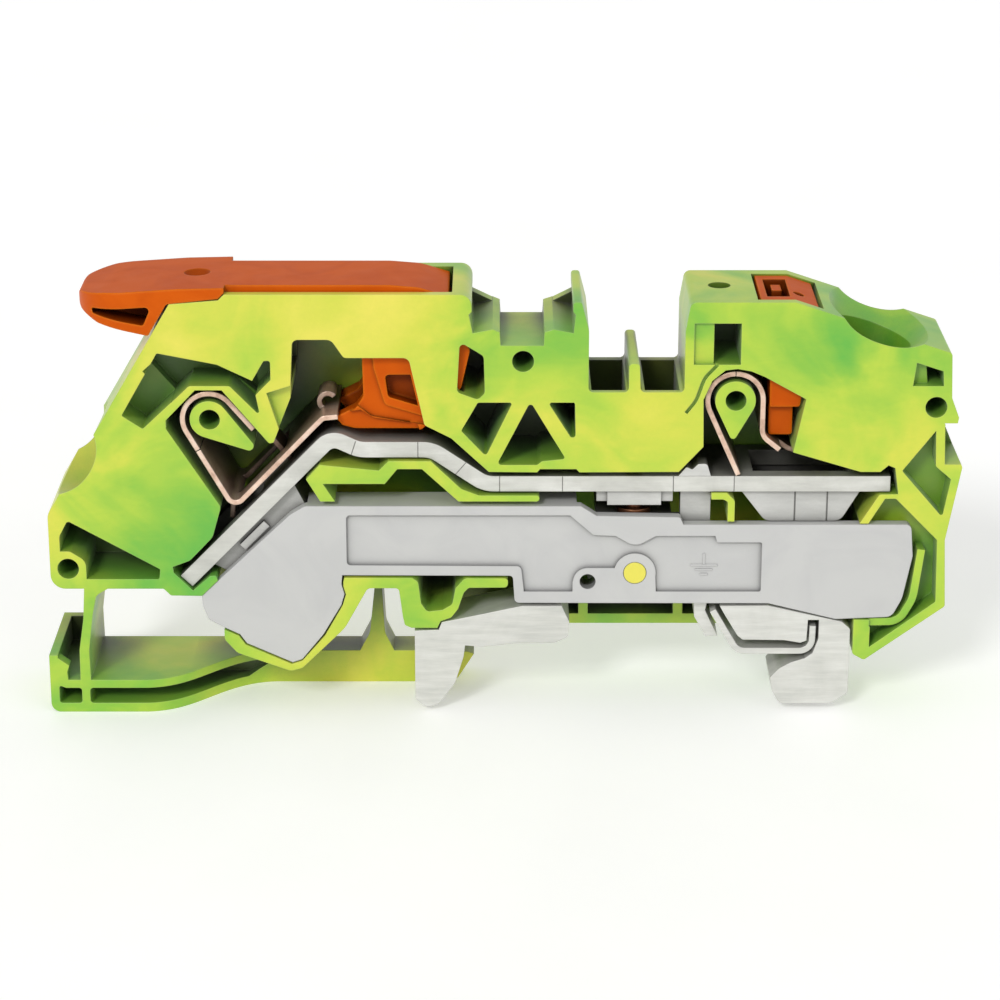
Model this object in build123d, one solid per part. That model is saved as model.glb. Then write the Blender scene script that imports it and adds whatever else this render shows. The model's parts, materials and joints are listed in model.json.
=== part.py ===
from build123d import *
import os
from math import atan2, cos, hypot, pi, radians, sin, sqrt

# Ground (PE) terminal block for a 35 mm mounting rail, 16 mm2 class, one lever clamp, one button clamp.
# Millimetres. X runs along the block, Y across its width (front, open side at -Y), Z up.
# The origin is the rail centre, on the top plane of the rail lips.

os.makedirs("parts", exist_ok=True)

# ---- driving dimensions -------------------------------------------------------------
WIDTH = 12.0                 # block pitch on the rail
BACK_WALL = 1.0              # wall left behind every pocket
FRONT = -WIDTH / 2
BACK = WIDTH / 2
FLOOR = BACK - BACK_WALL
TOP = 38.3                   # housing top beside the lever
BUTTON_TOP = 37.5            # housing top beside the button
STRIP = 0.5                  # clamp spring sheet
BAR = 1.65                   # current bar sheet
METAL_FRONT = -5.6           # front edge of bar and springs
METAL_BACK = 4.4
SLOT_FRONT = -5.0            # inner face of the wall in front of lever and button
SLOT_BACK = 4.6
RUN = 0.15                   # running clearance of the moving plastic pieces
LEVER_PIVOT = (-24.0, 38.0)
LEFT_LOOP = (-43.7, 25.1)    # centre of the lever side spring loop
RIGHT_LOOP = (9.5, 27.1)     # centre of the button side spring loop
LEFT_LOOP_R = 2.7            # centreline radius of each loop
RIGHT_LOOP_R = 2.8
CLAW_DEPTH = 5.8
PEG_R = 1.15                 # housing peg that holds the cover
BAR_TOP = 19.0               # top face of the flat run of the bar
RAISED_FLOOR = -3.2          # bay floor right of the foot cover


# ---- drawing helpers ----------------------------------------------------------------
def unit(a, b):
    """Unit vector from a to b and the distance between them."""
    d = hypot(b[0] - a[0], b[1] - a[1])
    return ((b[0] - a[0]) / d, (b[1] - a[1]) / d), d


def corner_arc(before, corner, after, r):
    """Start, middle, end and centre of the arc of radius r that rounds a corner."""
    (ux, uz), _ = unit(corner, before)
    (vx, vz), _ = unit(corner, after)
    half = atan2(abs(ux * vz - uz * vx), ux * vx + uz * vz) / 2
    reach = r * cos(half) / sin(half)
    start = (corner[0] + ux * reach, corner[1] + uz * reach)
    end = (corner[0] + vx * reach, corner[1] + vz * reach)
    (bx, bz), _ = unit((0, 0), (ux + vx, uz + vz))
    centre = (corner[0] + bx * r / sin(half), corner[1] + bz * r / sin(half))
    middle = (centre[0] - bx * r, centre[1] - bz * r)
    return start, middle, end, centre


def at(p, y):
    return Vector(p[0], y, p[1])


def closed_face(corners, y):
    """Planar face at depth y; a corner is (x, z) or (x, z, radius)."""
    edges = []
    count = len(corners)
    ends = []
    for i, c in enumerate(corners):
        here = (c[0], c[1])
        if len(c) == 3:
            start, middle, end, _ = corner_arc(corners[i - 1][:2], here, corners[(i + 1) % count][:2], c[2])
            edges.append(Edge.make_three_point_arc(at(start, y), at(middle, y), at(end, y)))
            ends.append((start, end))
        else:
            ends.append((here, here))
    for i in range(count):
        a = ends[i][1]
        b = ends[(i + 1) % count][0]
        if hypot(b[0] - a[0], b[1] - a[1]) > 1e-6:
            edges.append(Edge.make_line(at(a, y), at(b, y)))
    return Face(Wire(edges))


def prism(corners, front, back):
    """Side outline pushed from front to back."""
    return Solid.extrude(closed_face(corners, front), Vector(0, back - front, 0))


def strip(path, thickness, front, back):
    """Bent sheet seen edge on: centreline corners with bend radii, given thickness."""
    left = []
    right = []
    h = thickness / 2
    last = len(path) - 1
    for i, c in enumerate(path):
        here = (c[0], c[1])
        if i in (0, last):
            a, b = (here, path[1][:2]) if i == 0 else (path[last - 1][:2], here)
            (ux, uz), _ = unit(a, b)
            left.append(("p", (here[0] - uz * h, here[1] + ux * h)))
            right.append(("p", (here[0] + uz * h, here[1] - ux * h)))
            continue
        start, middle, end, centre = corner_arc(path[i - 1][:2], here, path[i + 1][:2], c[2])
        (ux, uz), _ = unit(path[i - 1][:2], here)
        (vx, vz), _ = unit(here, path[i + 1][:2])
        turn = ux * vz - uz * vx
        for side, sign in ((left, 1), (right, -1)):
            scale = 1 - sign * h / c[2] if turn > 0 else 1 + sign * h / c[2]
            moved = [(centre[0] + (q[0] - centre[0]) * scale, centre[1] + (q[1] - centre[1]) * scale)
                     for q in (start, middle, end)]
            side.append(("a", moved))
    edges = []
    loop = left + [(k, v[::-1] if k == "a" else v) for k, v in reversed(right)]
    cursor = None
    first = None
    for kind, value in loop + loop[:1]:
        begin = value[0] if kind == "a" else value
        if cursor and hypot(begin[0] - cursor[0], begin[1] - cursor[1]) > 1e-6:
            edges.append(Edge.make_line(at(cursor, front), at(begin, front)))
        if first and begin == first:
            break
        first = first or begin
        if kind == "a":
            edges.append(Edge.make_three_point_arc(*[at(q, front) for q in value]))
        cursor = value[-1] if kind == "a" else value
    return Solid.extrude(Face(Wire(edges)), Vector(0, back - front, 0))


def half_ring(centre, r, thickness, from_deg, to_deg, front, back):
    """Part of a tube wall about an axis along Y; angles run from +X towards +Z."""
    def on(radius, deg):
        t = radians(deg)
        return (centre[0] + radius * cos(t), centre[1] + radius * sin(t))
    inner = r - thickness / 2
    outer = r + thickness / 2
    mid = (from_deg + to_deg) / 2
    edges = [
        Edge.make_three_point_arc(*[at(on(outer, d), front) for d in (from_deg, mid, to_deg)]),
        Edge.make_line(at(on(outer, to_deg), front), at(on(inner, to_deg), front)),
        Edge.make_three_point_arc(*[at(on(inner, d), front) for d in (to_deg, mid, from_deg)]),
        Edge.make_line(at(on(inner, from_deg), front), at(on(outer, from_deg), front)),
    ]
    return Solid.extrude(Face(Wire(edges)), Vector(0, back - front, 0))


def block(x0, x1, y0, y1, z0, z1):
    return Pos((x0 + x1) / 2, (y0 + y1) / 2, (z0 + z1) / 2) * Box(x1 - x0, y1 - y0, z1 - z0)


def rod(x, z, r, front, back):
    """Round bar or hole along Y."""
    return Solid.make_cylinder(r, back - front, Plane(origin=(x, front, z), z_dir=(0, 1, 0)))


def upright(x, y, r, bottom, top):
    """Round bar or hole along Z."""
    return Solid.make_cylinder(r, top - bottom, Plane(origin=(x, y, bottom), z_dir=(0, 0, 1)))


def entry(mouth, axis, half_along, half_across, funnel, bore, length, y):
    """Conductor entry: oval funnel that narrows to a round bore, driven along axis (x, z)."""
    start = Plane(origin=(mouth[0], y, mouth[1]), x_dir=(-axis[1], 0, axis[0]), z_dir=(axis[0], 0, axis[1]))
    lift = 1.0
    grow = (half_along - bore) / funnel * lift
    grow_across = (half_across - bore) / funnel * lift
    wide = start.offset(-lift) * Ellipse(half_along + grow, half_across + grow_across)
    narrow = start.offset(funnel) * Circle(bore)
    cone = loft([wide.face(), narrow.face()])
    return cone + Solid.make_cylinder(bore, length - funnel, start.offset(funnel))


def teardrop(loop, head, tip, tip_r, front, back):
    """Spring peg: round head that tapers to a rounded tip."""
    (ux, uz), d = unit(loop, tip)
    slant = (head - tip_r) / d
    side = sqrt(1 - slant * slant)
    head_pts = []
    tip_pts = []
    for s in (1, -1):
        nx = ux * slant - s * uz * side
        nz = uz * slant + s * ux * side
        head_pts.append((loop[0] + nx * head, loop[1] + nz * head))
        tip_pts.append((tip[0] + nx * tip_r, tip[1] + nz * tip_r))
    far = (loop[0] - ux * head, loop[1] - uz * head)
    nose = (tip[0] + ux * tip_r, tip[1] + uz * tip_r)
    edges = [
        Edge.make_three_point_arc(at(head_pts[0], front), at(far, front), at(head_pts[1], front)),
        Edge.make_line(at(head_pts[1], front), at(tip_pts[1], front)),
        Edge.make_three_point_arc(at(tip_pts[1], front), at(nose, front), at(tip_pts[0], front)),
        Edge.make_line(at(tip_pts[0], front), at(head_pts[0], front)),
    ]
    return Solid.extrude(Face(Wire(edges)), Vector(0, back - front, 0))


def save(name, shape):
    solids = shape.solids()
    result = solids[0] if len(solids) == 1 else Compound(solids)
    print(name, len(solids), "solid", round(sum(s.volume for s in solids), 1), "mm3", result.is_valid)
    export_step(result, f"parts/{name}.step")


# ---- directions shared by several pieces ---------------------------------------------
LEFT_FACE_FOOT = (-60.07, 15.7)       # lower end of the sloping conductor face
LEFT_FACE_HEAD = (-47.3, 37.3)
RIGHT_FACE_HEAD = (15.3, BUTTON_TOP)  # upper end of the right sloping face
RIGHT_FACE_FOOT = (31.1, 32.2)
(lfx, lfz), _ = unit(LEFT_FACE_FOOT, LEFT_FACE_HEAD)
LEFT_AXIS = (lfz, -lfx)               # conductor direction, into the block
(rfx, rfz), _ = unit(RIGHT_FACE_HEAD, RIGHT_FACE_FOOT)
RIGHT_AXIS = (rfz, -rfx)
LEFT_MOUTH = (-57.3, 20.4)
RIGHT_MOUTH = (24.2, 34.52)
CHANNEL_Y = -0.6

# ---- current bar ----------------------------------------------------------------------
bar_mid = BAR_TOP - BAR / 2
bar_path = [
    (-46.55, 7.55), (-31.4, 23.15, 1.6), (-28.6, 21.85, 3.0), (-21.2, 21.85, 3.0),
    (-15.8, bar_mid, 3.0), (25.5, bar_mid),
]
current_bar = strip(bar_path, BAR, METAL_FRONT, METAL_BACK)
(bux, buz), _ = unit(bar_path[0], bar_path[1])
slope_plane = Plane(origin=(bar_path[0][0], 0, bar_path[0][1]), x_dir=(bux, 0, buz), z_dir=(-buz, 0, bux))
LEFT_WINDOW = (1.6, 12.3)             # along the sloping run, from its lower end
WINDOW_HALF = 3.3
left_window = slope_plane * Pos(sum(LEFT_WINDOW) / 2, -0.6, 0) * Box(LEFT_WINDOW[1] - LEFT_WINDOW[0],
                                                                    2 * WINDOW_HALF, 4)
RIGHT_WINDOW = (11.6, 21.4)
right_window = block(*RIGHT_WINDOW, -0.6 - WINDOW_HALF, -0.6 + WINDOW_HALF, BAR_TOP - 3, BAR_TOP + 1)
current_bar = current_bar - left_window - right_window
# fine press marks across the front edge: x, z and lean from upright
BEND_MARKS = [
    (-29.3, 21.55, 18.0), (-22.6, 21.85, 0.0), (-18.2, 19.9, 40.0), (-14.3, bar_mid, 0.0),
    (-7.9, bar_mid, 0.0), (3.4, bar_mid, 0.0), (9.6, bar_mid, 0.0),
]
for jumper_x in (-3.3, 2.1):
    current_bar -= block(jumper_x - 1.3, jumper_x + 1.3, -1.5, 1.5, BAR_TOP - 3, BAR_TOP + 1)
for mark_x, mark_z, lean in BEND_MARKS:
    current_bar -= Pos(mark_x, METAL_FRONT, mark_z) * Rot(0, lean, 0) * Box(0.08, 0.14, 2.6)
save("current_bar", current_bar)

# ---- conductor troughs under the bar windows --------------------------------------------
TROUGH_WALL = 0.8
under_bar = BAR / 2 + 0.01            # top of a trough, just under the bar
TROUGH_DEPTH = 3.4


def trough(plane, x0, x1, slope0, slope1, depth, front, back):
    """Open-topped bowl; the plane's z points up out of the bar."""
    top = -under_bar
    shape = [(x0, top), (x1, top), (x1 - slope1, top - depth, 1.2), (x0 + slope0, top - depth, 1.2)]
    wall = TROUGH_WALL
    inner = [(x0 + 1.0, top + 1), (x1 - 1.0, top + 1), (x1 - slope1 - 0.6, top - depth + wall, 0.8),
             (x0 + slope0 + 0.6, top - depth + wall, 0.8)]
    body = prism(shape, front, back) - prism(inner, front + wall, back - wall)
    return plane * body


left_trough = trough(slope_plane, 3.0, 15.2, 1.0, 1.2, TROUGH_DEPTH, -4.6, 3.9)
left_trough += slope_plane * block(6.6, 10.2, -5.1, -4.5, -under_bar - 1.3, -under_bar - 0.5)
save("lever_side_trough", left_trough)

right_trough_plane = Plane(origin=(0, 0, bar_mid), x_dir=(1, 0, 0), z_dir=(0, 0, 1))
right_trough = trough(right_trough_plane, 10.3, 22.6, 2.6, 2.0, 3.4, -5.0, 3.9)
for seam_x in (15.9, 19.2):
    right_trough -= block(seam_x - 0.08, seam_x + 0.08, -6, -4.85, 13.0, 17.4)
save("button_side_trough", right_trough)

# ---- lever side clamp spring --------------------------------------------------------------
# The sheet is one bent strip. The anchored part runs from the bar round the loop and a little way
# down the limb; the rest of the limb, the bend and the arm turn together about LIMB_PIVOT.
lx, lz = LEFT_LOOP
LIMB_START_DEG = 208.0
BEND = (-41.45, 15.55)
SPLIT_GAP = 0.05
limb_top = (lx + LEFT_LOOP_R * cos(radians(LIMB_START_DEG)), lz + LEFT_LOOP_R * sin(radians(LIMB_START_DEG)))
(tx, tz), limb_len = unit(limb_top, BEND)
LIMB_PIVOT = (limb_top[0] + tx * limb_len / 4, limb_top[1] + tz * limb_len / 4)
limb_fixed_end = (LIMB_PIVOT[0] - tx * SPLIT_GAP, LIMB_PIVOT[1] - tz * SPLIT_GAP)
limb_moving_start = (LIMB_PIVOT[0] + tx * SPLIT_GAP, LIMB_PIVOT[1] + tz * SPLIT_GAP)
lever_anchor = half_ring(LEFT_LOOP, LEFT_LOOP_R, STRIP, 40, LIMB_START_DEG, METAL_FRONT, METAL_BACK)
lever_anchor += strip([limb_top, limb_fixed_end], STRIP, METAL_FRONT, METAL_BACK)
tangent_a = (lx + LEFT_LOOP_R * cos(radians(40)), lz + LEFT_LOOP_R * sin(radians(40)))
run_a = (sin(radians(40)), -cos(radians(40)))
leg_wide = (tangent_a[0] + run_a[0] * 3.7, tangent_a[1] + run_a[1] * 3.7)
leg_end = (tangent_a[0] + run_a[0] * 9.08, tangent_a[1] + run_a[1] * 9.08)
lever_anchor += strip([tangent_a, leg_wide], STRIP, METAL_FRONT, METAL_BACK)
lever_anchor += strip([leg_wide, leg_end], STRIP, -2.5, 1.3)
save("lever_spring_anchor", lever_anchor)

ARM_END = (-32.85, 24.55)
lever_arm = strip([limb_moving_start, (BEND[0], BEND[1], 0.9), (ARM_END[0], ARM_END[1], 0.6),
                   (-32.2, 25.2, 0.6),
                   (-30.7, 25.35)], STRIP, METAL_FRONT, METAL_BACK)
(ax, az), _ = unit(BEND, ARM_END)
arm_plane = Plane(origin=(BEND[0], 0, BEND[1]), x_dir=(ax, 0, az), z_dir=(-az, 0, ax))
lever_arm -= arm_plane * Pos(4.4, -0.6, 0) * Box(7.2, 5.4, 3)
tongue_root = (BEND[0] - tx * 1.5, BEND[1] - tz * 1.5)
tongue_tip = (BEND[0] + tx * 0.2 - 0.55, BEND[1] + tz * 0.2 - 1.85)
lever_arm += strip([tongue_root, (BEND[0] - tx * 0.4, BEND[1] - tz * 0.4, 1.5), tongue_tip], STRIP, -2.9,
                   1.7)
lever_arm += half_ring((-31.85, 25.95), 0.85, STRIP, 40, 275, -2.4, 1.2)
save("lever_spring_arm", lever_arm)

# ---- button side clamp spring ----------------------------------------------------------------
rx, rz = RIGHT_LOOP
button_anchor = half_ring(RIGHT_LOOP, RIGHT_LOOP_R, STRIP, 91.0, 204.0, METAL_FRONT, METAL_BACK)
tangent_c = (rx + RIGHT_LOOP_R * cos(radians(204)), rz + RIGHT_LOOP_R * sin(radians(204)))
run_c = (-sin(radians(204)), cos(radians(204)))
anchor_len = (tangent_c[1] - (BAR_TOP + 0.14)) / -run_c[1]
button_anchor += strip([tangent_c, (tangent_c[0] + run_c[0] * anchor_len,
                                    tangent_c[1] + run_c[1] * anchor_len)],
                       STRIP, METAL_FRONT, METAL_BACK)
save("button_spring_anchor", button_anchor)

button_leg = half_ring(RIGHT_LOOP, RIGHT_LOOP_R, STRIP, 0, 89.5, METAL_FRONT, METAL_BACK)
leg_x = rx + RIGHT_LOOP_R
button_leg += strip([(leg_x, rz), (leg_x, 23.3, 1.5), (14.1, 21.85)], STRIP, METAL_FRONT, METAL_BACK)
button_leg += strip([(13.6, 22.27), (15.2, 21.1, 2.0), (19.9, 19.75)], STRIP, -2.9, 1.7)
save("button_spring_leg", button_leg)

# ---- lever --------------------------------------------------------------------------------------
px, pz = LEVER_PIVOT
LEVER_TOP = 38.95
head_outline = [
    (-56.8, 37.8, 0.7), (-56.8, 36.2, 0.9), (-54.6, 35.15, 1.5), (-49.5, 34.0, 0.3), (-47.55, 37.3, 0.4),
    (-42.4, 37.85), (-41.8, 38.45), (-41.8, LEVER_TOP), (-46.5, LEVER_TOP - 0.1, 18), (-53.8, 38.35, 6),
]
lever = prism(head_outline, FRONT, BACK)
nose_r = 5.2
nose_keep = Plane.XY.offset(30) * Pos(-56.85 + 9.0, 0) * RectangleRounded(18.0, WIDTH, nose_r)
nose_keep = extrude(nose_keep, 12) + block(-48, -41, FRONT, BACK, 30, 42)
lever = lever & nose_keep
inner_outline = [
    (-46.4, 38.4), (-46.4, 36.4, 0.4), (-28.3, 36.4, 0.8), (-28.1, 27.2, 0.9), (-28.9, 26.0, 0.8),
    (-30.95, 24.95, 0.25), (-30.3, 24.1, 0.3), (-29.0, 23.75, 2.0), (-22.2, 23.75, 0.8), (-18.2, 28.2, 0.5),
    (-17.3, 32.1, 0.4), (px + 4.55, 36.4, 0.5), (px + 4.6, 37.8, 0.2), (-22.4, 38.7, 4),
    (-25.5, LEVER_TOP, 8),
    (-41.9, LEVER_TOP),
]
lever_front = SLOT_FRONT + RUN
lever_back = SLOT_BACK - RUN
lever = lever + prism(inner_outline, lever_front, lever_back)
# middle of the foot set back, so the rolled spring end can pass between the two cheeks
lever -= block(-34, -25.4, -2.75, 1.55, 22.0, 33.6)
# relief pockets moulded in the head and in the front cheek
lever -= prism([(-55.2, 36.6, 0.2), (-49.1, 37.0, 0.4), (-49.95, 35.05, 0.3), (-55.1, 36.05, 0.2)],
               FRONT - 1, -2.5)
lever -= prism([(-25.9, 29.6, 0.4), (-23.3, 29.6), (-22.55, 26.3), (-25.6, 27.25, 0.5)], FRONT, -3.2)
lever -= prism([(-28.4, 25.9), (-27.1, 25.05, 0.6), (-22.6, 24.4), (-22.0, 22), (-32, 22), (-31.2, 25.4)],
               lever_front - 1, lever_front + 0.5)
lever -= prism([(-28.6, 32.5), (-27.2, 32.5), (-27.0, 30.3, 0.4), (-25.9, 26.4, 0.8), (-22.0, 25.2),
                (-21.6, 24.2),
                (-27.3, 25.2, 1.0), (-28.8, 26.4)], lever_front - 1, lever_front + 0.3)
# hollow underside of the lever arm between its two side walls
lever -= block(-45.4, -29.5, -3.9, 3.5, 35.5, 37.6)
dimple = Pos(-45.0, 0.3, 39.75) * Sphere(1.6)
lever -= dimple
save("lever", lever)

# ---- push button ------------------------------------------------------------------------------------
button_outline = [
    (11.9, 37.35), (15.2, 37.35), (17.7, 36.5), (16.35, 28.3), (16.1, 26.3, 0.3), (15.45, 26.0),
    (15.45, 22.95, 0.3), (13.05, 22.95, 0.3), (13.0, 31.4), (11.85, 33.2),
]
button = prism(button_outline, lever_front, lever_back)
button -= prism([(12.0, 26.2), (16.5, 26.2), (15.9, 22.0), (12.0, 22.0)], lever_front - 1,
                lever_front + 0.9)
button -= block(12.6, 14.9, -3.3, 3.0, 35.6, 38.5)
button += block(13.3, 14.3, -0.3, 1.9, 35.4, 37.1)
button -= upright(15.9, -1.6, 0.55, 35.6, 38.0)
save("push_button", button)

# ---- housing -----------------------------------------------------------------------------------------
outline = [
    LEFT_FACE_HEAD, (-42.4, 37.7), (-41.8, TOP), (-17.1, TOP, 1.2), (-17.1, 36.5), (-17.4, 36.2),
    (-17.0, 34.3),
    (-15.0, 34.7), (-14.3, 34.4), (-14.2, 33.0), (-9.9, 33.0), (-9.8, 34.4), (-8.9, 34.7), (-6.9, 34.3),
    (-6.7, 36.2), (-6.95, 36.5), (-6.95, 37.5, 0.3), (-6.1, 37.5, 0.3), (-5.35, 34.6, 2.0),
    (-5.35, 28.1, 0.5),
    (-1.3, 28.1, 0.5), (-1.3, 31.1, 0.4), (-0.2, 31.1, 0.4), (-0.1, 28.1, 0.5), (4.3, 28.1, 0.5),
    (4.3, 34.5),
    (4.8, BUTTON_TOP, 0.7), RIGHT_FACE_HEAD, (RIGHT_FACE_FOOT[0], RIGHT_FACE_FOOT[1], 0.4), (31.3, 27.5),
    (32.1, 25.4), (32.0, 24.8), (30.7, 24.8), (32.7, 20.1, 0.3), (31.3, 12.2), (31.65, 4.9, 0.4),
    (23.5, -1.1, 0.4), (22.3, -0.4), (22.3, 0.2), (-23.3, 0.2), (-23.3, 2.45), (-24.1, 2.8, 0.3),
    (-24.3, 3.7),
    (-24.7, 6.9, 0.4), (-27.9, 6.9, 0.6), (-30.3, 2.5, 3.0), (-34.8, -2.0, 0.8), (-36.0, -2.35, 1.0),
    (-41.5, -0.3, 1.2), (-42.8, 1.2, 0.8), (-42.8, 2.4), (-44.5, 3.5, 1.2), (-45.0, 6.05),
    (-48.2, 6.1, 0.4),
    (-48.9, 6.85, 0.4), (-60.5, 6.85, 1.5), (-60.5, 14.97, 1.6),
]
housing = prism(outline, FRONT, BACK)

# bay that takes the springs, the bar, the ground parts and the cover
bay = [
    (-47.9, 9.25), (-46.1, 9.95, 1.0), (-43.7, 12.5, 1.5), (-42.75, 15.8, 0.8), (-48.05, 24.2),
    (-48.05, 25.1),
    (-45.0, 28.3), (-42.3, 28.3), (-37.65, 22.65, 0.25), (-37.2, 22.75, 0.25), (-35.45, 27.2),
    (-35.1, 33.6, 0.6),
    (-31.2, 33.6, 0.9), (-29.95, 31.7, 0.5), (-23.45, 31.7, 0.7), (-21.9, 24.6, 0.5), (-19.2, 23.2, 1.0),
    (-15.4, 19.6), (-10.5, 19.55), (-10.2, 19.9), (-6.5, 19.9), (-6.2, 19.55), (3.9, 19.6), (6.35, 22.3),
    (6.25, 27.3), (7.1, 29.3), (8.4, 30.4), (9.6, 30.55), (11.0, 30.3), (12.4, 29.7), (16.6, 27.35),
    (15.45, 21.7),
    (22.4, 19.6), (24.4, 19.6), (25.2, 20.3), (25.9, 20.0), (26.3, 17.2), (24.4, 17.15, 0.4), (22.5, 14.0),
    (23.4, 14.0), (25.0, 16.7), (26.1, 16.7), (30.5, 12.2), (30.65, 5.4, 0.3), (24.0, 0.35), (24.0, 2.6),
    (22.35, 3.3), (22.35, -4.0), (-23.4, -4.0), (-23.4, 2.5), (-20.75, 2.5), (-20.4, 3.25),
    (-19.3, 3.65, 0.6),
    (-18.6, 4.6, 0.6), (-18.0, 6.4), (-17.5, 6.95, 0.4), (-13.5, 6.98, 0.4), (-13.4, 7.98, 0.4),
    (-17.9, 8.0, 0.8), (-18.85, 6.9), (-19.2, 5.1, 0.6), (-20.2, 4.5), (-21.8, 4.3, 0.5), (-22.4, 5.2),
    (-22.7, 7.6, 0.5), (-23.3, 8.03), (-30.3, 8.05), (-30.45, 7.3), (-30.15, 6.2), (-30.5, 5.0),
    (-32.4, 1.6),
    (-34.8, -1.2, 0.6), (-35.9, -1.55), (-40.6, 0.6), (-41.3, 1.6), (-42.9, 2.35), (-46.5, 2.35),
    (-46.5, 5.2),
    (-45.05, 6.0), (-43.3, 7.75), (-43.5, 8.3, 0.2), (-44.1, 8.25), (-45.9, 6.65), (-47.8, 8.6),
]
housing -= prism(bay, FRONT - 1, FLOOR)
cover_floor = [(-44.9, 6.1), (-44.9, 4.6), (-43.2, 2.6), (-35.5, -1.4), (-30.4, 5.5), (-30.4, 8.0),
               (-30.0, 14), (-36, 14)]
housing -= prism(cover_floor, FRONT, FLOOR)

# ribs that stand up inside the bay and carry the bar
lower_rib = [
    (-34.0, 18.8), (-32.6, 20.35), (-26.6, 19.75), (-25.6, 20.75), (-21.3, 20.75), (-18.2, 17.75),
    (-16.4, 17.05),
    (-10.2, 17.05, 0.3), (-10.3, 16.4, 0.3), (-18.5, 16.4), (-22.2, 19.9), (-24.7, 19.9), (-26.0, 18.3),
    (-32.3, 18.3), (-31.1, 16.4), (-32.6, 16.4),
]
housing += prism(lower_rib, FRONT, FLOOR + 0.5)
housing += prism([(7.3, 17.25), (8.9, 17.25, 0.4), (9.7, 16.4, 0.4), (9.7, 14.15), (9.0, 14.15),
                  (9.0, 16.3, 0.3),
                  (8.5, 16.55), (7.3, 16.55)], -5.8, FLOOR + 0.5)
housing += strip([(29.0, 11.0), (28.35, 5.6, 4.0), (27.0, 3.05, 1.8), (22.9, 3.0)], 0.8, -5.6, FLOOR + 0.5)
housing += block(22.3, 23.9, FRONT, FLOOR + 0.5, -0.3, 3.4)
housing += prism([(22.9, 13.9), (24.4, 17.3), (26.4, 17.3), (31.0, 12.4), (31.2, 5.2), (24.2, 0.0),
                  (22.9, 1.0)],
                 RAISED_FLOOR, FLOOR + 0.5)
base_wall = block(-16.0, 22.4, 1.0, FLOOR + 0.5, 0.2, 1.3)
for rib_x in (-5.5, 4.5):
    base_wall += block(rib_x - 0.5, rib_x + 0.5, 1.0, FLOOR + 0.5, 1.0, 5.0)
housing += base_wall

# spring pegs and the peg that locates the cover
left_peg = teardrop(LEFT_LOOP, 1.95, (-39.75, 22.3), 0.5, -5.7, FLOOR + 0.5)
right_peg = teardrop(RIGHT_LOOP, 2.05, (9.35, 23.4), 0.35, -5.7, FLOOR + 0.5)
housing += left_peg
housing += right_peg
housing += rod(-0.4, 8.55, PEG_R, -5.9, FLOOR + 0.5)
for hx, hz in (LEFT_LOOP, RIGHT_LOOP):
    housing -= rod(hx + 0.05, hz, 1.05, FRONT - 1, 2.0)

# pockets in the outside face
pocket_a = [
    (-48.7, 32.2, 0.2), (-42.7, 31.0), (-39.2, 29.3), (-38.0, 31.4, 0.25), (-37.35, 31.4, 0.25),
    (-37.35, 29.4),
    (-38.9, 27.8, 0.2), (-38.5, 25.6, 0.15), (-41.5, 28.75, 0.5), (-45.6, 28.75, 0.6), (-50.4, 24.2, 0.2),
    (-52.5, 25.6, 0.2),
]
housing -= prism(pocket_a, FRONT - 1, -1.5)
housing -= prism([(-50.2, 30.3), (-47.4, 27.0), (-45.6, 28.75), (-41.5, 28.75), (-38.7, 26.4),
                  (-39.2, 29.3),
                  (-42.7, 31.0), (-48.3, 32.0)], FRONT - 1, 0.2)
housing -= prism([(-37.8, 28.0), (-35.0, 28.9), (-35.0, 25.0), (-36.5, 23.8)], FRONT - 1, -5.0)
housing -= prism([(-58.5, 14.3, 0.3), (-59.4, 12.6, 1.0), (-59.4, 10.95), (-58.4, 10.95, 0.6),
                  (-56.8, 9.9, 1.2),
                  (-56.8, 7.9), (-49.3, 7.9, 0.2), (-49.2, 9.0, 0.2)], FRONT - 1, 2.0)
housing -= prism([(-18.3, 33.4, 0.4), (-15.9, 31.9, 0.6), (-15.8, 28.0, 0.6), (-16.5, 27.3, 0.5),
                  (-18.6, 28.1, 0.5)],
                 FRONT - 1, SLOT_BACK)
housing -= prism([(-16.5, 27.0, 0.2), (-13.0, 27.0, 0.2), (-15.7, 21.3, 0.25), (-18.2, 24.0, 0.2)],
                 FRONT - 1, 3.5)
housing -= prism([(-11.2, 27.1, 0.3), (-7.6, 21.0, 0.2), (-10.0, 20.75), (-10.5, 20.35, 0.2),
                  (-14.6, 20.35, 0.3)],
                 FRONT - 1, 3.5)
housing -= prism([(-9.4, 27.0, 0.2), (-6.7, 27.0, 0.2), (-6.6, 22.5, 0.3)], FRONT - 1, 3.5)
housing -= block(5.2, 7.2, FRONT - 1, -5.6, 31.0, 35.3)
housing -= block(7.2, 9.9, FRONT - 1, 2.5, 31.0, 35.3)
housing -= strip([(7.6, 31.0), (6.3, 29.6, 2.5), (5.5, 27.2, 3.0), (4.5, 25.9)], 0.35, FRONT - 1, -5.6)
housing -= prism([(27.6, 31.2), (30.3, 30.3), (30.4, 28.75), (27.3, 28.75)], FRONT - 1, -4.8)
housing -= prism([(28.7, 30.8), (30.3, 30.3), (30.4, 28.75), (28.9, 28.75)], FRONT - 1, 0)
housing -= prism([(29.85, 24.0), (30.0, 20.2, 0.3), (31.6, 18.8), (30.9, 14.7, 0.2), (26.6, 19.7, 0.2)],
                 FRONT - 1, RAISED_FLOOR)
housing -= prism([(30.75, 24.6), (30.9, 20.4), (32.2, 20.4), (34.0, 20.4), (34.0, 24.6)], FRONT - 1, 1.0)
for pin_x, pin_z in ((-58.65, 9.05), (-11.95, 31.35), (29.75, 26.5)):
    housing -= rod(pin_x, pin_z, 1.1, FRONT - 1, 3.5)

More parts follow.
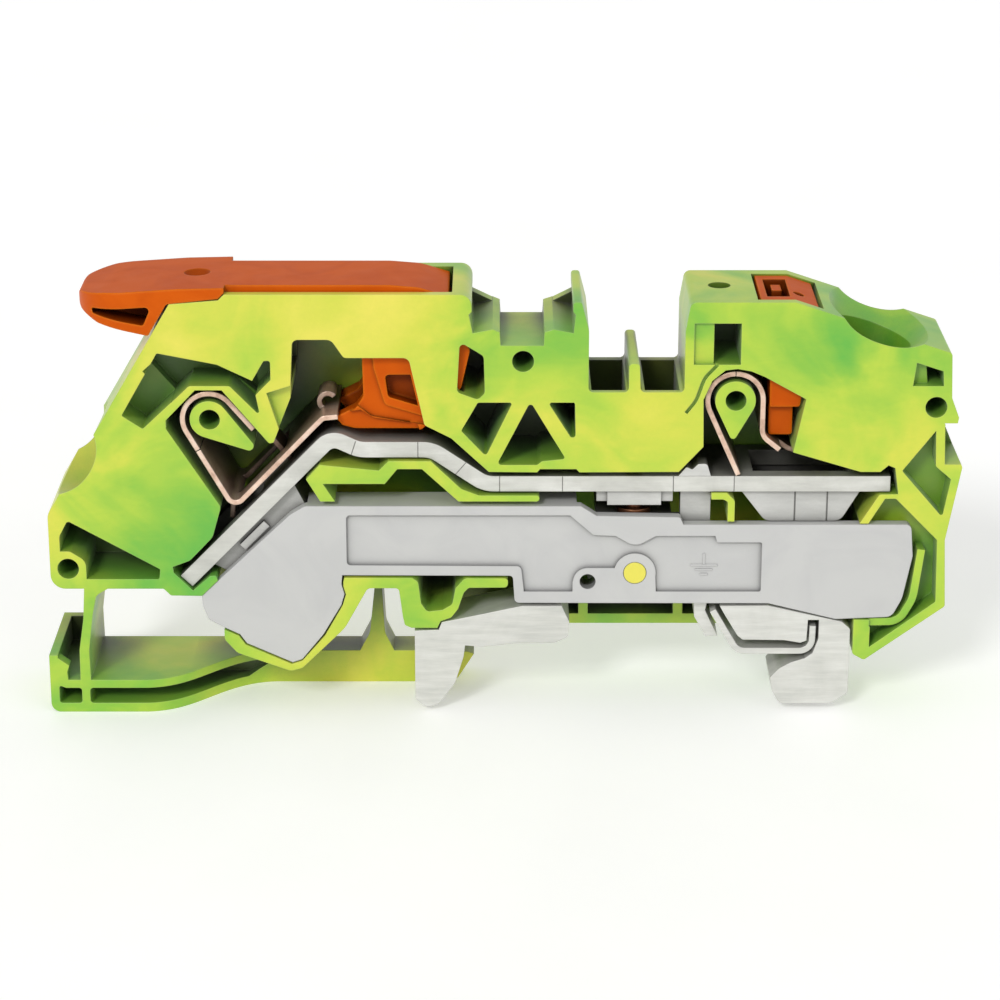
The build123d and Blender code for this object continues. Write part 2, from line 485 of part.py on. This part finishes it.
# slot for the lever arm and room for the foot to swing
lever_room = [
    (-47.6, 41.0), (-47.6, 36.1), (-36.9, 36.1), (-36.9, 28.6), (-35.0, 28.6), (-34.5, 31.0), (-30.0, 31.0),
    (-24.0, 31.0), (-23.0, 23.4), (-21.7, 23.4), (-17.65, 28.0), (-17.05, 32.2), (-19.05, 36.6),
    (-19.05, 41.0),
]
housing -= prism(lever_room, SLOT_FRONT, SLOT_BACK)
button_room = [(11.55, 41.0), (11.5, 29.5), (16.65, 27.0), (18.15, 36.5), (18.15, 41.0)]
housing -= prism(button_room, SLOT_FRONT, SLOT_BACK)

# conductor entries
left_entry = entry(LEFT_MOUTH, LEFT_AXIS, 5.0, 8.0, 2.4, 4.0, 13.5, CHANNEL_Y)
right_entry = entry(RIGHT_MOUTH, RIGHT_AXIS, 5.3, 9.0, 1.8, 4.2, 14.8, CHANNEL_Y)
housing -= left_entry
housing -= right_entry

# jumper slots, opened down to the bar, and the test probe hole
for jumper_x in (-3.3, 2.1):
    housing -= block(jumper_x - 1.75, jumper_x + 1.75, -5.3, 5.0, 18.9, 29.0)
housing -= upright(8.0, 0.3, 1.15, 34.0, 38.5)

# marker seat: the back ledges rise towards the slot walls
housing += prism([(-17.15, 34.2), (-17.15, 35.7), (-15.0, 34.65)], 4.5, BACK)
housing += prism([(-9.0, 34.6), (-6.85, 35.7), (-6.85, 34.2)], 4.5, BACK)

# long release leg on the left
LEG_BOTTOM = -6.95
LEG_TOP = -3.35
leg = prism([(-61.1, LEG_TOP), (-61.1, LEG_BOTTOM, 1.0), (-19.0, LEG_BOTTOM), (-19.0, LEG_TOP)], FRONT,
            BACK)
plan_points = [(-51.0, FRONT), (-47.0, -4.3), (-44.5, -1.8), (-42.0, 0.5), (-38.0, 2.0)]
plan_curve = Edge.make_spline([Vector(x, y, -8) for x, y in plan_points])
plan_edges = [
    plan_curve,
    Edge.make_line((-38.0, 2.0, -8), (-17.0, 2.0, -8)),
    Edge.make_line((-17.0, 2.0, -8), (-17.0, -8.0, -8)),
    Edge.make_line((-17.0, -8.0, -8), (-51.0, -8.0, -8)),
    Edge.make_line((-51.0, -8.0, -8), (-51.0, FRONT, -8)),
]
leg -= Solid.extrude(Face(Wire(plan_edges)), Vector(0, 0, 6))
leg += prism([(-20.0, LEG_TOP), (-17.7, -3.5), (-17.05, -3.75), (-18.7, -6.4), (-19.3, LEG_BOTTOM),
              (-20.0, LEG_BOTTOM)],
             2.0, BACK)
leg += block(-61.1, -60.2, FRONT, BACK, -4.0, -0.6)
leg += prism([(-61.1, -0.6), (-60.6, -0.6), (-59.05, -1.75), (-59.3, -2.5), (-59.2, -3.4), (-61.1, -3.4)],
             FRONT, -4.6)
leg += block(-61.1, -57.3, FLOOR, BACK, -4.0, -0.6)
leg -= prism([(-59.3, -2.5), (-59.2, -3.2, 0.3), (-58.1, -3.2, 0.3), (-57.9, -2.5)], FRONT - 1, FLOOR)
leg -= prism([(-60.2, -3.95, 0.2), (-59.5, -4.25), (-57.85, -4.25, 0.3), (-57.85, -5.95, 0.3),
              (-60.2, -5.95, 0.3)],
             FRONT - 1, 2.5)
leg -= prism([(-57.0, -4.25, 0.35), (-38.0, -4.25), (-41.0, -5.95), (-57.0, -5.95, 0.35)], FRONT - 1, 2.8)
web = prism([(-57.1, 7.2), (-57.35, 3.5), (-57.9, 0.0), (-57.95, -3.6), (-56.85, -3.6), (-56.9, 0.0),
             (-56.35, 4.0),
             (-55.9, 6.1, 0.8), (-54.6, 6.9), (-54.6, 7.2)], FRONT, BACK)
leg += web
leg += prism([(-27.45, 7.2), (-27.55, 3.8), (-28.1, -1.3, 2.0), (-29.2, -3.4), (-25.5, -3.4),
              (-26.5, -1.3, 2.0),
              (-26.75, 3.8), (-26.7, 7.2)], 2.0, BACK)
housing += leg
save("housing", housing)

# ---- ground parts --------------------------------------------------------------------------
left_claw = prism([
    (-23.1, 2.1), (-23.1, -5.6, 0.5), (-21.9, -6.6, 0.8), (-20.6, -6.1, 0.6), (-18.95, -3.8, 1.5),
    (-18.05, -0.8),
    (-17.9, 0.45), (-16.1, 0.3, 2.0), (-12.6, 0.7), (-8.6, 0.75, 1.5), (-7.2, 1.4, 0.6), (-7.1, 3.1),
    (-7.9, 4.85),
    (-12.0, 4.85), (-18.8, 3.35, 1.0), (-20.3, 3.05), (-20.6, 2.2),
], -5.8, -5.8 + CLAW_DEPTH)
save("rail_claw", left_claw)

foot = prism([
    (8.45, 4.85), (8.9, 4.0), (10.35, 1.55), (10.9, 1.1, 0.3), (15.2, 1.05), (16.9, 0.75, 0.4), (17.5, 1.0),
    (17.6, 3.3), (18.75, 3.3), (18.75, 1.2), (18.2, -0.4), (17.4, -1.0), (16.0, -1.45, 3.0),
    (14.7, -2.2, 2.0),
    (13.85, -3.2, 0.15), (14.1, -4.7), (14.9, -6.1, 0.8), (20.3, -6.1, 1.5), (22.0, -4.9, 0.6),
    (22.0, 2.3, 0.4),
    (21.1, 3.1), (13.4, 4.9),
], -5.8, -5.8 + CLAW_DEPTH)
save("rail_foot", foot)

SPRING_SHEET = 0.65
foot_spring = strip([(7.75, 4.2), (10.35, -0.28, 1.4), (18.1, -0.28, 1.3), (18.15, 2.5)], SPRING_SHEET,
                    -5.5, -0.8)
save("foot_spring", foot_spring)

lug = prism([(5.8, 4.9), (5.9, 3.2), (7.1, 1.05), (8.35, 1.05), (7.0, 3.9), (7.2, 4.9)], -4.6, -1.0)
save("rail_contact_lug", lug)

bracket = prism([
    (-12.0, 4.87), (-8.2, 4.87), (-8.2, 5.6), (5.8, 5.6), (5.8, 4.92), (13.2, 4.92), (13.2, 7.4),
    (7.3, 11.5),
    (7.3, 17.33), (4.2, 17.33), (4.2, 14.2), (-4.4, 14.2), (-12.0, 8.0),
], -4.55, -3.0)
bracket += block(4.2, 7.3, -4.55, 4.2, 15.9, 17.33)
bracket += block(-4.4, 3.4, -4.55, 3.6, 13.3, 14.2)
bracket -= rod(-0.4, 8.55, 1.5, -6, 0)
bracket -= rod(-5.25, 7.6, 0.85, -6, 0)
RIVET = (-0.5, -2.8)                  # x and y of the rivet that ties the block to the bracket
SHANK_R = 1.0
HEAD_R = 1.6
bracket -= upright(*RIVET, SHANK_R + 0.05, 12.0, 15.0)
bracket -= block(RIVET[0] - HEAD_R - 0.05, RIVET[0] + HEAD_R + 0.05, -5.0, -1.0, 12.5, 13.3)
save("ground_bracket", bracket)

contact_block = block(-4.4, 3.4, -4.85, 4.0, 16.05, 17.33) + block(-3.3, 2.2, -5.2, -4.5, 15.75, 17.33)
save("contact_block", contact_block)

rivet = upright(*RIVET, SHANK_R, 13.3, 15.75) + upright(*RIVET, HEAD_R, 12.6, 13.3)
save("ground_rivet", rivet)

washer = upright(*RIVET, 1.75, 14.2, 14.95) - upright(*RIVET, SHANK_R + 0.05, 14.0, 15.2)
save("rivet_washer", washer)

clip = prism([(3.9, 19.02), (4.7, 20.0, 0.2), (5.3, 19.7, 0.2), (5.9, 20.3, 0.3), (6.8, 20.35, 0.4),
              (7.2, 19.02)],
             METAL_FRONT, -3.4)
save("bar_clip", clip)

# ---- grey cover ----------------------------------------------------------------------------
cover_outline = [
    (-45.0, 6.05), (-35.7, 14.95, 1.0), (-34.2, 15.85, 1.0), (-6.0, 15.85), (-4.4, 14.8),
    (4.15, 14.65, 0.3),
    (4.5, 13.85), (27.8, 13.85, 0.6), (28.1, 10.4), (27.2, 5.7, 3.0), (26.2, 3.7, 1.0), (20.4, 3.45),
    (13.4, 5.2),
    (-12.75, 5.25, 0.5), (-12.95, 8.25, 0.4), (-30.5, 8.3), (-30.6, 7.3), (-30.3, 6.2), (-30.65, 5.0),
    (-32.55, 1.75),
    (-34.8, -1.05, 0.5), (-35.8, -1.4), (-40.5, 0.75), (-41.2, 1.75), (-42.75, 2.5), (-44.4, 3.4, 1.0),
    (-44.95, 5.0, 1.0),
]
cover = prism(cover_outline, -5.9, -4.65)
cover += block(-34.0, -6.4, -4.7, -1.5, 14.95, 15.85)
recess = [
    (-30.0, 14.85, 0.4), (-7.1, 14.85), (-4.7, 12.7), (-2.4, 12.6), (-0.4, 11.4, 1.6), (1.7, 12.6), (7.8, 12.6),
    (8.0, 11.9), (12.6, 11.9, 0.2), (12.6, 6.5, 0.2), (1.8, 6.5), (1.7, 8.6), (-0.4, 8.6), (-2.5, 9.1), (-5.3, 9.1),
    (-6.8, 7.6), (-6.8, 6.5), (-11.8, 6.5), (-12.1, 9.3, 0.5), (-30.0, 9.4, 0.4),
]
recess_cut = prism(recess, -6.5, -5.55) - rod(-0.4, 8.55, 2.15, -7, -5) - rod(-5.25, 7.6, 1.5, -7, -5)
cover -= recess_cut
cover -= rod(-0.4, 8.55, PEG_R + 0.05, -7, -4)
cover -= rod(-5.25, 7.6, 0.82, -7, -4)
save("foot_cover", cover)
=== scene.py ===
import json
from math import radians

import bmesh
import bpy
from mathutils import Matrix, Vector


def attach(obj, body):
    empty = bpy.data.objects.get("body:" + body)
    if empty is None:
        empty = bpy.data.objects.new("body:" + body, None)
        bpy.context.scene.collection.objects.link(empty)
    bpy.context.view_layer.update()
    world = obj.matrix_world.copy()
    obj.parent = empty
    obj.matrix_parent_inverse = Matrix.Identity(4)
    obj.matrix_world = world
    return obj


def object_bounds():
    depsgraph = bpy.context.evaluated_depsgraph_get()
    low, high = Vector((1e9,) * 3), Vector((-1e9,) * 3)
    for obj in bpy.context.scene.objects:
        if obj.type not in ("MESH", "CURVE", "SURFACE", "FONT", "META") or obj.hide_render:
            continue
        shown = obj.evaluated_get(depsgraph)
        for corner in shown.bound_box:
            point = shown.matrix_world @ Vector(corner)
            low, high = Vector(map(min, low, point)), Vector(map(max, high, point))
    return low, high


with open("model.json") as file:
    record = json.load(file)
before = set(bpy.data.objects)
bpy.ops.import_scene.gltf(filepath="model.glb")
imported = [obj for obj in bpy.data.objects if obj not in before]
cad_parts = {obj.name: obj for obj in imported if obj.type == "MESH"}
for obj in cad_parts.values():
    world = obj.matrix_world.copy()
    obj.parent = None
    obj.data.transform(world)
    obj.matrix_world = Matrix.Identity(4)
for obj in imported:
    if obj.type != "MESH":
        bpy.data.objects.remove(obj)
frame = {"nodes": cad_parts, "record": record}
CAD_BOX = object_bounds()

MM = 0.001
nodes = frame["nodes"]

# places across the block, open side to back wall
OPEN_SIDE_Y = -4 * MM
BACK_WALL_Y = 4 * MM

# shared by the materials; noise scales, given where they are used, are per metre of the object
# reach of the painted shade in pockets, and its power at the open side and at the back wall
PAINTED_SHADE_REACH = 6 * MM
PAINTED_SHADE_POWER_FRONT = 1.1
PAINTED_SHADE_POWER_BACK = 4.0
PLASTIC_GRAIN = 0.02 * MM
ROLLED_GRAIN = 0.012 * MM
PAPER_GRAIN = 0.05 * MM
EDGE_GAIN = 3.5
# strength of the painted highlight along edges, for plastic and for metal
EDGE_HIGHLIGHT_PLASTIC = 0.5
EDGE_HIGHLIGHT_METAL = 0.55

# sockets of the colour form of the mix node, which has other sockets of the same names
MIX_FACTOR, MIX_A, MIX_B, MIX_RESULT = 0, 6, 7, 2


# ---- colours -------------------------------------------------------------------------
def linear(r, g, b):
    """Linear colour of an sRGB triple given as 0 to 255."""
    def decoded(level):
        level = level / 255
        return level / 12.92 if level <= 0.04045 else ((level + 0.055) / 1.055) ** 2.4
    return (decoded(r), decoded(g), decoded(b), 1.0)


# ---- shader building -------------------------------------------------------------------
class Shader:
    """A material under construction; most calls add nodes and return the socket to use next."""

    def __init__(self, name):
        self.material = bpy.data.materials.new(name)
        self.material.use_nodes = True
        self.tree = self.material.node_tree
        self.tree.nodes.clear()
        surface = self.tree.nodes.new("ShaderNodeOutputMaterial").inputs["Surface"]
        self.bsdf = self.tree.nodes.new("ShaderNodeBsdfPrincipled")
        self.link(self.bsdf.outputs["BSDF"], surface)
        self.place = self.tree.nodes.new("ShaderNodeTexCoord").outputs["Object"]

    def node(self, kind, **settings):
        made = self.tree.nodes.new(kind)
        for key, value in settings.items():
            setattr(made, key, value)
        return made

    def link(self, source, target):
        self.tree.links.new(source, target)

    def feed(self, socket, value):
        """Sets a constant on a socket, or links another socket's output to it."""
        if isinstance(value, (int, float, tuple)):
            socket.default_value = value
        else:
            self.link(value, socket)

    def stretched(self, scale, turn=(0, 0, 0)):
        mapping = self.node("ShaderNodeMapping")
        mapping.inputs["Scale"].default_value = scale
        mapping.inputs["Rotation"].default_value = turn
        self.link(self.place, mapping.inputs["Vector"])
        return mapping.outputs["Vector"]

    def noise(self, scale, detail=3.0, rough=0.5, warp=0.0, vector=None):
        texture = self.node("ShaderNodeTexNoise")
        texture.inputs["Scale"].default_value = scale
        texture.inputs["Detail"].default_value = detail
        texture.inputs["Roughness"].default_value = rough
        texture.inputs["Distortion"].default_value = warp
        self.link(vector or self.place, texture.inputs["Vector"])
        return texture.outputs["Fac"]

    def ramp(self, source, stops):
        made = self.node("ShaderNodeValToRGB")
        elements = made.color_ramp.elements
        while len(elements) < len(stops):
            elements.new(0.5)
        for element, (position, colour) in zip(elements, stops):
            element.position = position
            element.color = colour
        self.link(source, made.inputs["Fac"])
        return made.outputs["Color"]

    def math(self, operation, a, b, clamp=False):
        made = self.node("ShaderNodeMath", operation=operation, use_clamp=clamp)
        self.feed(made.inputs[0], a)
        self.feed(made.inputs[1], b)
        return made.outputs["Value"]

    def mix(self, factor, a, b):
        made = self.node("ShaderNodeMix", data_type="RGBA")
        self.feed(made.inputs[MIX_FACTOR], factor)
        self.feed(made.inputs[MIX_A], a)
        self.feed(made.inputs[MIX_B], b)
        return made.outputs[MIX_RESULT]

    def spread(self, source, low, high):
        """Maps 0 to 1 onto low to high."""
        made = self.node("ShaderNodeMapRange")
        made.inputs["To Min"].default_value = low
        made.inputs["To Max"].default_value = high
        self.link(source, made.inputs["Value"])
        return made.outputs["Result"]

    def edges(self, radius):
        """How near a point is to an edge, 0 on the flat, and a normal with the edge rounded off."""
        bevel = self.node("ShaderNodeBevel", samples=6)
        bevel.inputs["Radius"].default_value = radius
        flat = self.node("ShaderNodeNewGeometry")
        dot = self.node("ShaderNodeVectorMath", operation="DOT_PRODUCT")
        self.link(bevel.outputs["Normal"], dot.inputs[0])
        self.link(flat.outputs["Normal"], dot.inputs[1])
        turned = self.math("SUBTRACT", 1.0, dot.outputs["Value"])
        return self.math("MULTIPLY", turned, EDGE_GAIN, clamp=True), bevel.outputs["Normal"]

    def behind(self, low, high):
        """low at the open side of the block, high towards its back wall."""
        split = self.node("ShaderNodeSeparateXYZ")
        self.link(self.place, split.inputs["Vector"])
        made = self.node("ShaderNodeMapRange")
        made.inputs["From Min"].default_value = OPEN_SIDE_Y
        made.inputs["From Max"].default_value = BACK_WALL_Y
        made.inputs["To Min"].default_value = low
        made.inputs["To Max"].default_value = high
        self.link(split.outputs["Y"], made.inputs["Value"])
        return made.outputs["Result"]

    def paint_pocket_shade(self, colour, depth, tone, dark=None, alone=True):
        """Paints shade into a colour: darkens it towards a tone in pockets and gaps, and more so near the
        back wall.

        With dark, the tone itself turns to it near the back wall. With alone, only the piece's own
        walls count, and the floor and the other pieces don't.
        """
        open_sky = self.node("ShaderNodeAmbientOcclusion", samples=8, only_local=alone)
        open_sky.inputs["Distance"].default_value = PAINTED_SHADE_REACH
        power = self.behind(PAINTED_SHADE_POWER_FRONT, PAINTED_SHADE_POWER_BACK)
        shade = self.math("POWER", open_sky.outputs["AO"], power)
        if dark is not None:
            tone = self.mix(self.behind(0.0, 1.0), tone, dark)
        return self.mix(self.spread(shade, depth, 0.0), colour, tone)

    def patch(self, centre, radius):
        """1 at a point of the object, fading to 0 at this distance from it."""
        away = self.node("ShaderNodeVectorMath", operation="DISTANCE")
        self.link(self.place, away.inputs[0])
        away.inputs[1].default_value = centre
        fade = self.math("DIVIDE", away.outputs["Value"], radius)
        return self.math("SUBTRACT", 1.0, fade, clamp=True)

    def bump(self, height, strength, distance, normal=None):
        made = self.node("ShaderNodeBump")
        made.inputs["Strength"].default_value = strength
        made.inputs["Distance"].default_value = distance
        self.link(height, made.inputs["Height"])
        if normal is not None:
            self.link(normal, made.inputs["Normal"])
        return made.outputs["Normal"]

    def finish(self, colour, roughness, normal, metallic=0.0, **fixed):
        """Connects the surface; a fixed value's name is its socket's, with _ for each space."""
        self.link(colour, self.bsdf.inputs["Base Color"])
        self.link(roughness, self.bsdf.inputs["Roughness"])
        self.link(normal, self.bsdf.inputs["Normal"])
        self.bsdf.inputs["Metallic"].default_value = metallic
        for name, value in fixed.items():
            self.bsdf.inputs[name.replace("_", " ")].default_value = value
        return self.material


# ---- materials -----------------------------------------------------------------------------
# places where one colour of the housing gathers: x, y, z and radius in mm, then how much more
# yellow (+) or green (-) it is
PATCHES = [
    (-32, -6, 32, 20, 0.16), (-8, -6, 24, 18, 0.13), (22, -6, 22, 12, 0.12), (-0.4, -6, 8.5, 3, 0.5),
    (-44, -6, 11, 9, -0.13), (-52, -6, 27, 8, -0.05), (20, -6, 31, 8, -0.10), (6, -6, 36, 9, -0.08),
]
# from green to yellow
MARBLE = [
    (0.34, linear(90, 172, 48)), (0.43, linear(134, 186, 44)), (0.51, linear(172, 200, 48)),
    (0.59, linear(202, 206, 58)), (0.70, linear(222, 212, 76)),
]


def marbled_plastic():
    """Green and yellow polyamide that ran together in the mould."""
    s = Shader("green_yellow_pa")
    edge, rounded = s.edges(0.16 * MM)
    drift = s.noise(30, detail=2.0, rough=0.45, warp=0.8)
    swirl = s.noise(75, detail=3.0, rough=0.5, warp=1.4)
    wisps = s.noise(300, detail=4.0, rough=0.6, warp=1.0, vector=s.stretched((1.0, 1.0, 2.2), (0, 0.5, 0)))
    field = s.math("ADD", s.math("MULTIPLY", drift, 0.62), s.math("MULTIPLY", swirl, 0.38))
    field = s.math("ADD", field, s.math("MULTIPLY", s.math("SUBTRACT", wisps, 0.5), 0.07))
    for x, y, z, radius, amount in PATCHES:
        stain = s.patch((x * MM, y * MM, z * MM), radius * MM)
        field = s.math("ADD", field, s.math("MULTIPLY", stain, amount))
    base = s.ramp(field, MARBLE)
    grain = s.noise(2600, detail=2.0)
    # painted highlight: the colour is lightened along the edges
    edge_lit = s.mix(s.math("MULTIPLY", edge, 0.22), base, linear(244, 250, 190))
    colour = s.mix(s.spread(grain, 0.0, 0.10), edge_lit, linear(120, 150, 40))
    # painted shade: darker in pockets and gaps, near black towards the back wall
    colour = s.paint_pocket_shade(colour, 0.97, linear(92, 146, 34), dark=linear(8, 18, 2))
    rough = s.spread(s.noise(420, detail=4.0), 0.34, 0.50)
    normal = s.bump(grain, 0.12, PLASTIC_GRAIN, rounded)
    return s.finish(colour, rough, normal, Specular_IOR_Level=0.6, IOR=1.5, Coat_Weight=0.2,
                    Coat_Roughness=0.3, Sheen_Weight=0.12, Sheen_Roughness=0.4)


def plain_plastic(name, body, dark, light, shade, rough, edge_mm=0.16, gloss=0.3):
    """One-colour moulded plastic with flow marks, fine grain, a painted highlight along the edges and
    painted shade in pockets.
    """
    s = Shader(name)
    edge, rounded = s.edges(edge_mm * MM)
    flow = s.noise(120, detail=4.0, rough=0.55, warp=1.4)
    base = s.ramp(flow, [(0.30, dark), (0.58, body)])
    # painted highlight along the edges
    colour = s.mix(s.math("MULTIPLY", edge, EDGE_HIGHLIGHT_PLASTIC), base, light)
    # painted shade in pockets and gaps
    colour = s.paint_pocket_shade(colour, 0.85, shade)
    grain = s.noise(3200, detail=2.0)
    dull = s.spread(s.noise(500, detail=4.0), *rough)
    normal = s.bump(grain, 0.16, PLASTIC_GRAIN, rounded)
    return s.finish(colour, dull, normal, Specular_IOR_Level=gloss, IOR=1.4)


def rolled_metal(name, body, dark, light, shade, metallic, rough, lines, turn=(0, 0, 0), mark=0.5,
                 edge_mm=0.12, alone=False):
    """Sheet or bar metal: fine lines one way, faint stains, a painted highlight along the edges and painted
    shade in pockets.

    lines scales the noise along each axis, so the lines run along the smallest, and mark is their
    share of the tone, beside the stains.
    """
    s = Shader(name)
    edge, rounded = s.edges(edge_mm * MM)
    brushed = s.noise(900, detail=5.0, rough=0.65, vector=s.stretched(lines, turn))
    stain = s.noise(150, detail=5.0, rough=0.6, warp=0.8)
    field = s.math("ADD", s.math("MULTIPLY", brushed, mark), s.math("MULTIPLY", stain, 1 - mark))
    base = s.ramp(field, [(0.33, dark), (0.50, body), (0.70, light)])
    # painted highlight along the edges
    colour = s.mix(s.math("MULTIPLY", edge, EDGE_HIGHLIGHT_METAL), base, light)
    # painted shade in pockets and gaps
    colour = s.paint_pocket_shade(colour, 0.95, shade, alone=alone)
    dull = s.spread(brushed, *rough)
    normal = s.bump(brushed, 0.25, ROLLED_GRAIN, rounded)
    return s.finish(colour, dull, normal, metallic=metallic)


# light colours the painted highlight along the edges (in the metals also their lightest own tone), and shade
# is the tone of the painted shade in pockets and gaps
materials = {
    "green_yellow_pa": marbled_plastic(),
    "orange_pa": plain_plastic(
        "orange_pa", body=linear(200, 86, 4), dark=linear(188, 76, 0), light=linear(255, 146, 36),
        shade=linear(60, 16, 0), rough=(0.36, 0.48), edge_mm=0.4, gloss=0.12),
    "grey_pa": plain_plastic(
        "grey_pa", body=linear(190, 190, 188), dark=linear(184, 184, 183), light=linear(198, 198, 197),
        shade=linear(40, 40, 40), rough=(0.42, 0.56)),
    "tinned_copper": rolled_metal(
        "tinned_copper", body=linear(200, 200, 193), dark=linear(182, 182, 176),
        light=linear(222, 222, 216), shade=linear(60, 58, 52), metallic=0.25, rough=(0.36, 0.52),
        lines=(0.15, 1.0, 1.0)),
    "tinned_copper_dull": rolled_metal(
        "tinned_copper_dull", body=linear(200, 200, 196), dark=linear(184, 184, 180),
        light=linear(222, 222, 218), shade=linear(48, 46, 42), metallic=0.35, rough=(0.36, 0.52),
        lines=(0.2, 1.0, 1.0)),
    "spring_steel": rolled_metal(
        "spring_steel", body=linear(222, 188, 166), dark=linear(158, 120, 98),
        light=linear(246, 226, 208), shade=linear(40, 20, 12), metallic=0.45, rough=(0.26, 0.42),
        lines=(1.0, 0.12, 1.0), edge_mm=0.24),
    "clamp_steel": rolled_metal(
        "clamp_steel", body=linear(204, 204, 198), dark=linear(188, 189, 183),
        light=linear(220, 220, 215), shade=linear(64, 62, 56), metallic=0.30, rough=(0.30, 0.48),
        lines=(0.2, 1.0, 2.0), turn=(0, 0.95, 0), mark=0.6, alone=True),
    "bare_copper": rolled_metal(
        "bare_copper", body=linear(206, 140, 100), dark=linear(150, 84, 52),
        light=linear(238, 184, 146), shade=linear(60, 24, 10), metallic=0.80, rough=(0.24, 0.40),
        lines=(1.0, 0.2, 1.0)),
}

slot_of = {row["node"]: row["material_slot"] for row in frame["record"]["subparts"]}
for name, piece in nodes.items():
    piece.data.materials.clear()
    piece.data.materials.append(materials[slot_of[name]])


# ---- raised ground symbol on the grey cover ------------------------------------------------------
# a stem and three cross bars, each shorter than the one above it: low x, high x, low z, high z in mm
SYMBOL_BARS = [(6.58, 6.82, 9.42, 10.6), (5.3, 8.1, 9.2, 9.42), (5.8, 7.6, 8.7, 8.92), (6.3, 7.1, 8.2, 8.42)]
SYMBOL_FRONT = -5.68
SYMBOL_BACK = -5.5
SYMBOL_EDGE = 0.05


def raised_bars(name, bars, front, back, edge):
    """One mesh of raised bars with rounded edges, between two y in mm."""
    mesh = bpy.data.meshes.new(name)
    bm = bmesh.new()
    for x0, x1, z0, z1 in bars:
        made = bmesh.ops.create_cube(bm, size=MM)
        bmesh.ops.scale(bm, verts=made["verts"], vec=(x1 - x0, back - front, z1 - z0))
        middle = Vector(((x0 + x1) / 2, (front + back) / 2, (z0 + z1) / 2)) * MM
        bmesh.ops.translate(bm, verts=made["verts"], vec=middle)
    bmesh.ops.bevel(bm, geom=bm.edges[:], offset=edge * MM, segments=3, affect="EDGES", profile=0.5)
    bmesh.ops.recalc_face_normals(bm, faces=bm.faces[:])
    bm.to_mesh(mesh)
    bm.free()
    piece = bpy.data.objects.new(name, mesh)
    bpy.context.scene.collection.objects.link(piece)
    return piece


symbol = raised_bars("ground_symbol", SYMBOL_BARS, SYMBOL_FRONT, SYMBOL_BACK, SYMBOL_EDGE)
symbol.data.materials.append(materials["grey_pa"])
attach(symbol, "block")

# ---- floor ----------------------------------------------------------------------------------------
FLOOR_HALF = 3.0
FLOOR_Z = CAD_BOX[0][2]


def white_paper():
    """Paper that glows a little, so that the ground under the block stays white."""
    s = Shader("paper")
    tone = s.ramp(s.noise(30, detail=3.0), [(0.3, (0.86, 0.86, 0.85, 1)), (0.7, (0.9, 0.9, 0.89, 1))])
    dull = s.spread(s.noise(400), 0.5, 0.6)
    normal = s.bump(s.noise(900), 0.05, PAPER_GRAIN)
    return s.finish(tone, dull, normal, Emission_Color=(1, 1, 1, 1), Emission_Strength=0.22)


corners = [(-1, -1), (1, -1), (1, 1), (-1, 1)]
floor_mesh = bpy.data.meshes.new("floor")
floor_mesh.from_pydata([(x * FLOOR_HALF, y * FLOOR_HALF, FLOOR_Z) for x, y in corners], [], [(0, 1, 2, 3)])
floor_mesh.materials.append(white_paper())
floor = bpy.data.objects.new("floor", floor_mesh)
bpy.context.scene.collection.objects.link(floor)

# ---- light ----------------------------------------------------------------------------------------
world = bpy.data.worlds.new("studio")
world.use_nodes = True
sky = world.node_tree.nodes["Background"]
sky.inputs["Color"].default_value = (1, 1, 1, 1)
sky.inputs["Strength"].default_value = 0.66
bpy.context.scene.world = world


def sun(name, elevation, azimuth, strength, softness):
    """Even light from far away, angles in degrees; azimuth 0 is straight in front, positive right."""
    data = bpy.data.lights.new(name, "SUN")
    data.energy = strength
    data.angle = radians(softness)
    light = bpy.data.objects.new(name, data)
    light.rotation_euler = (radians(90 - elevation), 0, radians(azimuth))
    bpy.context.scene.collection.objects.link(light)


sun("key", elevation=34, azimuth=-24, strength=1.35, softness=14)
sun("fill", elevation=20, azimuth=40, strength=0.3, softness=30)

# ---- camera ---------------------------------------------------------------------------------------
CAMERA_PLACE = (-0.014268, -0.299281, 0.122463)
CAMERA_DOWN_DEG = 19.665

camera_data = bpy.data.cameras.new("camera")
camera_data.sensor_width = 36.0
camera_data.lens = 110.1
camera_data.shift_y = -0.010
camera_data.clip_start = 0.01
camera = bpy.data.objects.new("camera", camera_data)
camera.location = CAMERA_PLACE
camera.rotation_euler = (radians(90 - CAMERA_DOWN_DEG), 0, 0)
bpy.context.scene.collection.objects.link(camera)
bpy.context.scene.camera = camera
bpy.context.scene.view_settings.view_transform = "Standard"
